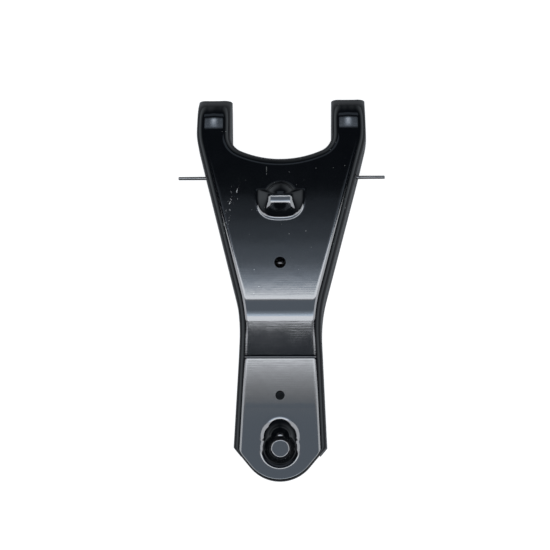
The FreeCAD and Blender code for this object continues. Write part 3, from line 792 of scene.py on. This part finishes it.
wire_line, wire_square = half_wire()
half_length = np.linalg.norm(np.diff(wire_line, axis=0), axis=1).sum()
print("half a wire is", round(float(half_length), 1), "mm long")

# %% A tube along the line
CUT_SHRINK, CUT_LENGTH = 0.8, 0.18


def tube(line, square):
    """Circles square to a line, with a slightly broken edge at its first end.

    A circle's point is the line's point plus the radius times the cosine of
    an angle one way and its sine the other way, both square to the line.
    """
    along = np.gradient(line, axis=0)
    along[-1] = [-1.0, 0.0, 0.0]
    along /= np.linalg.norm(along, axis=1)[:, None]
    square = square - along * np.sum(square * along, axis=1)[:, None]
    square /= np.linalg.norm(square, axis=1)[:, None]
    across = np.cross(along, square)
    size = np.full(len(line), WIRE_RADIUS)
    line = np.concatenate([line[:1], line[:1], line[:1] + along[:1] * CUT_LENGTH, line[1:]])
    square = np.concatenate([square[:1], square[:1], square])
    across = np.concatenate([across[:1], across[:1], across])
    size = np.concatenate([[0.0, WIRE_RADIUS * CUT_SHRINK], size])
    angle = np.linspace(0, 2 * math.pi, WIRE_SIDES + 1)[None, :, None]
    round_way = square[:, None] * np.cos(angle) + across[:, None] * np.sin(angle)
    return line[:, None] + round_way * size[:, None, None]


spring = closed_mesh("spring_wire_bent", [(tube(wire_line, wire_square), ())])
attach(spring, "root")
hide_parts("ball_retaining_spring")

# %% [markdown]
# ## Finishes
#
# A finish is a net of shader nodes.  Wiring them by hand, or one call at a
# time, hides what they work out.  So sums are written with ordinary operators
# on a small class, a finish reads like a formula, and every other node comes
# from one method.

# %% Sums on shader values
class Value:
    """A value in a node tree; ordinary arithmetic on it makes Math nodes."""

    def __init__(self, finish, socket):
        """Wraps one socket of a finish."""
        self.finish, self.socket = finish, socket

    def sum(self, operation, *terms):
        """A Math node: the operation on the terms in their order."""
        return self.finish.node("Math", {"operation": operation}, dict(enumerate(terms)))

    # Sums, differences and products, and the same with the value on the right.
    def __add__(self, other): return self.sum("ADD", self, other)
    def __radd__(self, other): return self.sum("ADD", other, self)
    def __sub__(self, other): return self.sum("SUBTRACT", self, other)
    def __rsub__(self, other): return self.sum("SUBTRACT", other, self)
    def __mul__(self, other): return self.sum("MULTIPLY", self, other)
    def __rmul__(self, other): return self.sum("MULTIPLY", other, self)

    # The sine, the size without its sign, and the smaller of two values.
    def sine(self): return self.sum("SINE", self)
    def size(self): return self.sum("ABSOLUTE", self)
    def least(self, other): return self.sum("MINIMUM", self, other)

    def step(self, low, high):
        """0 below low, 1 above high and a smooth rise between them."""
        return self.finish.node("MapRange", {"interpolation_type": "SMOOTHSTEP"},
                                {"Value": self, "From Min": low, "From Max": high})


print("shader values can be added, subtracted and multiplied")

# %% A finish and its nodes
class Finish:
    """A material, or a given node tree, whose nodes are all made by one method."""

    def __init__(self, name, tree=None, **constants):
        """A new material with those values on its shader, and the place in mm in its x, y and z."""
        if tree:
            self.tree = tree
            return
        self.material = bpy.data.materials.new(name)
        self.material.use_nodes = True
        self.tree = self.material.node_tree
        self.shader = self.tree.nodes["Principled BSDF"]
        for socket, value in constants.items():
            self.shader.inputs[socket.replace("_", " ")].default_value = value
        self.place = self.node("TexCoord", {}, {}, "Object")
        self.place = self.node("VectorMath", {"operation": "SCALE"},
                               {"Vector": self.place, "Scale": 1 / MM}, "Vector")
        parts = self.node("SeparateXYZ", {}, {"Vector": self.place}, None)
        self.x, self.y, self.z = (Value(self, parts.outputs[axis]) for axis in "XYZ")

    def feed(self, slot, value):
        """Links a value to a socket, or sets the socket to a number."""
        if isinstance(value, Value):
            self.tree.links.new(value.socket, slot)
        else:
            slot.default_value = value

    def node(self, kind, settings, values, output=0):
        """A node of that kind: its settings first, then its values and links."""
        node = self.tree.nodes.new("ShaderNode" + kind)
        for name, value in settings.items():
            setattr(node, name, value)
        for name, value in values.items():
            self.feed(node.inputs[name], value)
        return node if output is None else Value(self, node.outputs[output])

    def noise(self, scale, detail=3.0, rough=0.5, place=None):
        """Cloudy noise whose patches are about one over the scale across, in mm."""
        return self.node("TexNoise", {}, {"Vector": place or self.place, "Scale": scale,
                                          "Detail": detail, "Roughness": rough})

    def stretched(self, x, y, z):
        """The place with each axis made longer or shorter."""
        return self.node("VectorMath", {"operation": "MULTIPLY"},
                         {0: self.place, 1: (x, y, z)}, "Vector")

    def blend(self, share, first, second):
        """A colour between two, by the share."""
        return self.node("Mix", {"data_type": "RGBA"},
                         {"Factor": share, "A": first, "B": second}, "Result")

    def set(self, socket, value):
        """Feeds one socket of the finish's own shader."""
        self.feed(self.shader.inputs[socket], value)

    def bump(self, height):
        """Tilts the surface by a height in mm."""
        self.set("Normal", self.node("Bump", {}, {"Height": height, "Distance": MM,
                                                  "Strength": 1.0}, "Normal"))


print("a finish can", ", ".join(name for name in vars(Finish) if name[:2] != "__"))

# %% [markdown]
# ### Black electro-coat
#
# The whole fork is dipped, so the coat is even and close over the steel.  It
# is a deep blue black with a smooth gloss.  The drawing of the sheet leaves
# faint lines across it where it slid over the tools, mostly near the step,
# and handling has scuffed one edge and left a few specks and a scratch.
#
# Painted maps could give all this, but they need the surface unrolled and
# show a seam.  Noise on the piece's own place has none, so it was chosen.

# %% Clouds, grain and drawn lines
COAT_DARK = (0.0006, 0.0008, 0.0012, 1)
COAT_WORN = (0.0016, 0.0020, 0.0026, 1)
SLID_STRETCH = (0.25, 2.2, 1.0)
LINES_PER_MM, LINE_STRAY, LINES_ELSEWHERE = 6.0, 9.0, 0.15
STEP_START, STEP_END = (-96, -82), (-46, -26)
BROKEN = (0.3, 0.6)

coat = Finish("black_electro_coat", Specular_IOR_Level=0.5, Coat_IOR=1.5, Coat_Roughness=0.06)
cloud = coat.noise(0.09, 4.0, 0.6)
grain = coat.noise(1.6, 2.0, 0.6)
waves = coat.noise(0.22, 2.0, 0.5)
slid = coat.noise(0.35, 3.0, 0.6, coat.stretched(*SLID_STRETCH))
near_step = coat.y.step(*STEP_START) * (1 - coat.y.step(*STEP_END))
wave = (coat.y * LINES_PER_MM + slid * LINE_STRAY).sine() * 0.5 + 0.5
lines = wave * (LINES_ELSEWHERE + near_step) * coat.noise(0.12, 2.0).step(*BROKEN)
print("nodes for the even coat", len(coat.tree.nodes))

# %% Scuffs, specks and a scratch
SCUFF_GREY = (0.20, 0.20, 0.19, 1)
SCUFF_X, SCUFF_Y, SCUFF_LEAN, SCUFF_WIDTH = -25.0, -12.0, 0.26, (0.8, 2.4)
SCUFF_START, SCUFF_END = (-26, -18), (2, 10)
FLECK_STRETCH, FLECK_CUT, SPECK_CUT = (1.5, 0.6, 1.0), (0.61, 0.66), (0.79, 0.81)
SPECK_SHARE, SCRATCH_SHARE = 0.4, 0.35
UPPER_FACE, WIDE_WEB = (2, 3), (4.0, 4.3)
SCRATCH_X, SCRATCH_Y, SCRATCH_WIDTH, SCRATCH_LENGTH = -6.4, 12.7, (0.05, 0.22), (1.7, 2.2)

on_top = coat.z.step(*UPPER_FACE)
edge_band = 1 - (coat.x - SCUFF_X - (coat.y - SCUFF_Y) * SCUFF_LEAN).size().step(*SCUFF_WIDTH)
edge_run = coat.y.step(*SCUFF_START) * (1 - coat.y.step(*SCUFF_END))
fleck = coat.noise(0.8, 5.0, 0.75, coat.stretched(*FLECK_STRETCH)).step(*FLECK_CUT)
scuff = edge_band * edge_run * fleck * on_top
speck = coat.noise(0.9, 1.0, 0.3).step(*SPECK_CUT) * on_top * SPECK_SHARE
beside = (coat.x - SCRATCH_X).size().step(*SCRATCH_WIDTH)
beyond = (coat.y - SCRATCH_Y).size().step(*SCRATCH_LENGTH)
scratch = (1 - beside) * (1 - beyond) * coat.noise(1.2, 3.0).step(*BROKEN) * coat.z.step(*WIDE_WEB)
marks = (scuff + speck + scratch * SCRATCH_SHARE).least(1.0)
print("nodes with the marks", len(coat.tree.nodes))

# %% The coat put together
EVEN_ROUGHNESS, CLOUD_ROUGHNESS, LINE_ROUGHNESS, SCUFF_ROUGHNESS = 0.050, 0.02, 0.015, 0.3
GRAIN_DEPTH, LINE_DEPTH, WAVE_DEPTH, SCUFF_DEPTH = 0.0012, 0.0008, 0.006, 0.02
GLOSS = 0.10

coat.set("Base Color", coat.blend(marks, coat.blend(cloud, COAT_DARK, COAT_WORN), SCUFF_GREY))
coat.set("Roughness", EVEN_ROUGHNESS + cloud * CLOUD_ROUGHNESS + lines * LINE_ROUGHNESS
         + scuff * SCUFF_ROUGHNESS)
coat.set("Coat Weight", GLOSS - scuff * GLOSS)
coat.bump(grain * GRAIN_DEPTH + lines * LINE_DEPTH + waves * WAVE_DEPTH - scuff * SCUFF_DEPTH)
pressing.data.materials.append(coat.material)
print("coat", len(coat.tree.nodes), "nodes")

# %% [markdown]
# ### Spring wire
#
# Oil-tempered wire is dark, with fine draw marks along it.  A brushed metal
# could be anisotropic, but at this thickness marks that tilt the surface a
# little do the same and cost less.

# %% The wire
WIRE_DARK, WIRE_PALE = (0.05, 0.05, 0.053, 1), (0.12, 0.118, 0.115, 1)
MARK_STRETCH, MARK_DEPTH = (0.12, 2.5, 2.5), 0.02
WIRE_ROUGHNESS, MARK_ROUGHNESS = 0.32, 0.15

wire = Finish("tempered_wire", Metallic=1.0)
draw_marks = wire.noise(1.4, 3.0, 0.6, wire.stretched(*MARK_STRETCH))
oil = wire.noise(0.25, 3.0)
wire.set("Base Color", wire.blend(oil, WIRE_DARK, WIRE_PALE))
wire.set("Roughness", WIRE_ROUGHNESS + draw_marks * MARK_ROUGHNESS)
wire.bump(draw_marks * MARK_DEPTH)
spring.data.materials.append(wire.material)
print("wire", len(wire.tree.nodes), "nodes")

# %% [markdown]
# ## Floor
#
# The fork lies on its flange edges on white paper.  Lit paper is never quite
# as white as the page around a catalogue drawing, and bright paper shines
# back into the black coat.  So the camera sees the paper partly as a white
# glow, which still holds the fork's soft shadow, while the fork is lit by a
# darker sheet.  Beneath the fork the paper is painted dark for the camera: a
# painted shade, which is also what shows through the fork's holes.

# %% Floor
FLOOR, FLOOR_HALF = -14.45, 1.2
# The grey is the paper that the fork sees, and it is also the painted shade that the camera sees
# beneath the fork.
PAPER_WHITE, PAPER_GREY_AND_PAINTED_SHADE = (0.9, 0.9, 0.9, 1), (0.11, 0.11, 0.11, 1)
PAPER_ROUGHNESS, PAPER_FIBRES = 0.88, 0.02
GLOW, GLOW_SHARE = 1.04, 0.8
# Where the painted shade lies beneath the fork: its middle along the fork, and the spans over which it
# fades out to the sides and at its ends.
PAINTED_SHADE_MIDDLE, PAINTED_SHADE_SIDE, PAINTED_SHADE_END = -62.0, (9, 12), (44, 50)

floor_mesh = bpy.data.meshes.new("floor")
floor_mesh.from_pydata([(x * FLOOR_HALF, y * FLOOR_HALF, FLOOR * MM)
                        for x, y in ((-1, -1), (1, -1), (1, 1), (-1, 1))], [], [(0, 1, 2, 3)])
floor = bpy.data.objects.new("floor", floor_mesh)
bpy.context.scene.collection.objects.link(floor)

paper = Finish("floor_paper")
# Beneath the fork the camera sees grey paper without the glow: a painted shade, which also shows
# through the fork's holes.
beyond_painted_shade = (paper.x.size().step(*PAINTED_SHADE_SIDE)
               + (paper.y - PAINTED_SHADE_MIDDLE).size().step(*PAINTED_SHADE_END)).least(1.0)
seen_beyond_painted_shade = paper.node("LightPath", {}, {}, "Is Camera Ray") * beyond_painted_shade
paper.set("Base Color", paper.blend(seen_beyond_painted_shade, PAPER_GREY_AND_PAINTED_SHADE, PAPER_WHITE))
paper.set("Roughness", PAPER_ROUGHNESS + paper.noise(0.01) * PAPER_FIBRES)
glow = paper.node("Emission", {}, {"Color": (1, 1, 1, 1), "Strength": GLOW})
sheet_look = Value(paper, paper.shader.outputs[0])
mixed = paper.node("MixShader", {}, {0: seen_beyond_painted_shade * GLOW_SHARE, 1: sheet_look, 2: glow})
paper.feed(paper.tree.nodes["Material Output"].inputs["Surface"], mixed)
floor_mesh.materials.append(paper.material)
print("floor at", FLOOR, "mm,", len(paper.tree.nodes), "nodes")

# %% [markdown]
# ## Light
#
# A glossy black part shows little of its own colour: what one sees are the
# soft boxes mirrored in it, so their places decide where the web is bright.
# One long box hangs beyond the arms and one beyond the narrow end, with a dim
# ceiling between them, and two more stand to the sides.
#
# A single lamp for each box would end in a hard line on the coat, where a
# real box fades over its cloth and the wall beside it.  So an edge is a few
# narrow strips of light, and from one to the next the level changes by the
# same ratio.

# %% A strip of light
LAMP_LEVEL, LAMP_WIDTH = 1.4, 0.9
MIRRORED_SHARE = 0.046


def soft_strip(name, middle, width, depth, level, colour):
    """A level strip of light over the fork, whose mirror image in the coat has that level.

    A face of area a that gives off p watts evenly has the radiance p / (pi a),
    and at a right angle the coat sends back about a twentieth of it.
    """
    lamp = bpy.data.lights.new(name, "AREA")
    lamp.shape = "RECTANGLE"
    lamp.size, lamp.size_y = width, depth
    lamp.energy = math.pi * width * depth * level / MIRRORED_SHARE
    lamp.color = colour
    place = bpy.data.objects.new(name, lamp)
    place.location = (*middle, LAMP_LEVEL)
    place.visible_camera = False
    bpy.context.scene.collection.objects.link(place)


print("a strip hangs", LAMP_LEVEL, "m up")

# %% Soft boxes
WHITE, COOL = (0.95, 0.99, 1.05), (0.80, 0.95, 1.14)
SIDE_PLACE, SIDE_SIZE, SIDE_LEVEL = (0.81, -0.3), (0.7, 1.1), 0.34
FAR_PLACE, FAR_SIZE, FAR_LEVEL = (0.0, 0.87), (1.4, 0.46), 0.02
# For each run of strips: name, colour, the places of its two ends, the levels
# of its first and last strip, and how many strips it has.
RUNS = [
    ("front_glow", COOL, (0.430, 0.320), (0.014, 0.056), 3),
    ("front_edge", COOL, (0.320, 0.281), (0.100, 0.250), 3),
    ("front_box", WHITE, (0.281, 0.174), (0.620, 0.620), 1),
    ("front_fade", WHITE, (0.174, 0.110), (0.300, 0.110), 4),
    ("ceiling", COOL, (0.110, -0.350), (0.090, 0.090), 1),
    ("back_fade", COOL, (-0.350, -0.600), (0.130, 0.460), 3),
    ("back_box", WHITE, (-0.600, -0.802), (0.620, 0.620), 1),
    ("back_edge", WHITE, (-0.802, -0.820), (0.220, 0.050), 2),
    ("back_glow", COOL, (-0.820, -0.900), (0.016, 0.016), 1),
]


def soft_run(name, colour, ends, levels, count):
    """Strips of even depth between two ends, with levels at an even ratio."""
    edges = np.linspace(*ends, count + 1)
    for near, far, level in zip(edges[:-1], edges[1:], np.geomspace(*levels, count)):
        soft_strip(name, (0.0, (near + far) / 2), LAMP_WIDTH, near - far, level, colour)


for run in RUNS:
    soft_run(*run)
for name, way in (("left_box", -1), ("right_box", 1)):
    soft_strip(name, (way * SIDE_PLACE[0], SIDE_PLACE[1]), *SIDE_SIZE, SIDE_LEVEL, WHITE)
soft_strip("far_box", FAR_PLACE, *FAR_SIZE, FAR_LEVEL, COOL)
print(len(bpy.data.lights), "strips of light")

# %% [markdown]
# ### The room
#
# Low down, towards both sides, pale walls stand round the table, and their
# image runs along the rolled edges.  Boxes of their own could do that, but a
# background whose strength grows to the sides and near the horizon is
# smoother.  To the camera itself the room is plain white.

# %% The room
WALLS_HIGH, WALLS_LOW, WALLS_LEAST, ROOM_LEAST = 0.75, 0.25, 0.12, 0.02
PALE_BLUE, PLAIN_WHITE = (0.85, 0.93, 1.0, 1), (1, 1, 1, 1)
world = bpy.data.worlds.new("room")
world.use_nodes = True
room = Finish("room_walls", world.node_tree)
way = room.node("SeparateXYZ", {}, {"Vector": room.node("TexCoord", {}, {}, "Generated")}, None)
sideways, height = Value(room, way.outputs["X"]), Value(room, way.outputs["Z"])
seen = room.node("LightPath", {}, {}, "Is Camera Ray")
low = 1 - height.size().step(WALLS_LOW, WALLS_HIGH)
walls = low * (WALLS_LEAST + sideways.size()) + ROOM_LEAST
sky = world.node_tree.nodes["Background"]
room.feed(sky.inputs["Color"], room.blend(seen, PALE_BLUE, PLAIN_WHITE))
room.feed(sky.inputs["Strength"], walls + seen * (1 - walls))
bpy.context.scene.world = world
bpy.context.scene.view_settings.view_transform = "Standard"
print("room", len(world.node_tree.nodes), "nodes")

# %% [markdown]
# ## Camera
#
# The camera stands a little to the right of the fork and almost above it,
# leaning back towards the narrow end, and is rolled so that the fork stands
# upright in the frame.  It could be aimed by a constraint, but its three
# directions worked out from two angles and a roll are plain numbers.

# %% Camera
ELEVATION, AZIMUTH, ROLL = (math.radians(a) for a in (76.0, 10.0, -9.95))
TARGET = Vector((-2.62, -34.24, -4.4)) * MM
DISTANCE, LENS, SENSOR = 0.600, 86.4, 36.0
back = Vector((math.sin(AZIMUTH) * math.cos(ELEVATION), -math.cos(AZIMUTH) * math.cos(ELEVATION),
               math.sin(ELEVATION)))
right = Vector((math.cos(AZIMUTH), math.sin(AZIMUTH), 0))
up = back.cross(right)
frame_right = right * math.cos(ROLL) + up * math.sin(ROLL)
frame_up = up * math.cos(ROLL) - right * math.sin(ROLL)
lens = bpy.data.cameras.new("camera")
lens.lens, lens.sensor_width = LENS, SENSOR
camera = bpy.data.objects.new("camera", lens)
turn_matrix = Matrix((frame_right, frame_up, back)).transposed().to_4x4()
camera.matrix_world = Matrix.Translation(TARGET + back * DISTANCE) @ turn_matrix
bpy.context.scene.collection.objects.link(camera)
bpy.context.scene.camera = camera
print("camera", round(DISTANCE, 3), "m away, lens", LENS, "mm")
